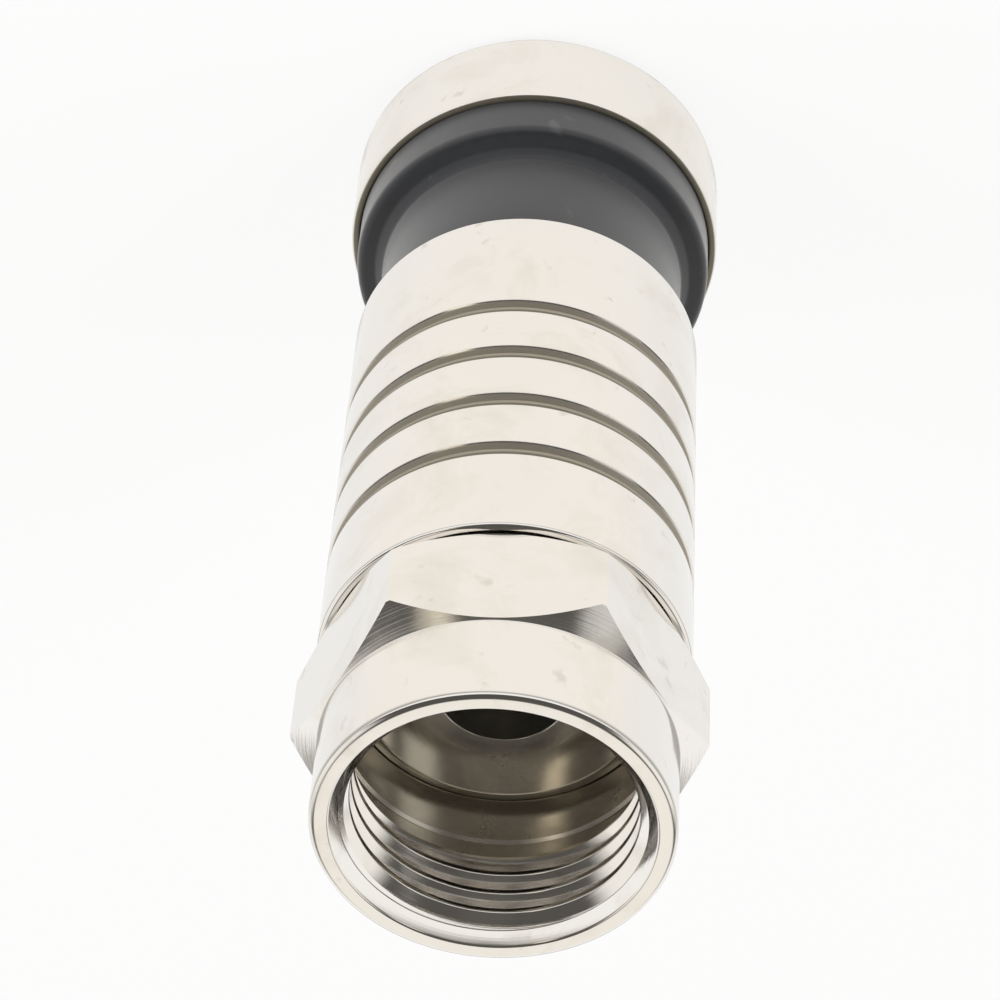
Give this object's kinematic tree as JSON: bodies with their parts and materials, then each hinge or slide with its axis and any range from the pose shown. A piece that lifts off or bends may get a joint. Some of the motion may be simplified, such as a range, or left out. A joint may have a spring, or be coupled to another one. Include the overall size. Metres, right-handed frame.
{
  "type": "f connector",
  "caption": "Compression F connector standing on its rear end: swivel hex nut with a threaded mouth, hollow post, grooved body and a black sleeve that slides into the body to grip a cable.",
  "frame": {"origin": "centre of the rear face of the end band, on the surface that the connector stands on", "axes": "+Z along the connector's axis, from the cable end to the mouth of the nut; two flats of the nut face +Y and -Y"},
  "size_m": [0.013, 0.013, 0.0335],
  "materials": {
    "nickel_plate": "turned brass with a bright nickel plating",
    "post_plate": "turned brass with a plain tin plating",
    "seal_rubber": "moulded rubber",
    "black_plastic": "moulded with a low sheen"
  },
  "bodies": {
    "shell": {"connector_body": "nickel_plate", "inner_post": "post_plate", "nut_seal": "seal_rubber"},
    "nut": {"coupling_nut": "nickel_plate"},
    "compressor": {"compression_sleeve": "black_plastic", "end_band": "nickel_plate"}
  },
  "joints": [
    {"name": "nut_swivel", "type": "hinge", "parent": "shell", "child": "nut", "pos_m": [0, 0, 0.0299], "axis": [0, 0, 1], "continuous": true},
    {"name": "compression_stroke", "type": "slide", "parent": "shell", "child": "compressor", "axis": [0, 0, 1], "range_m": [0, 0.0046]}
  ]
}
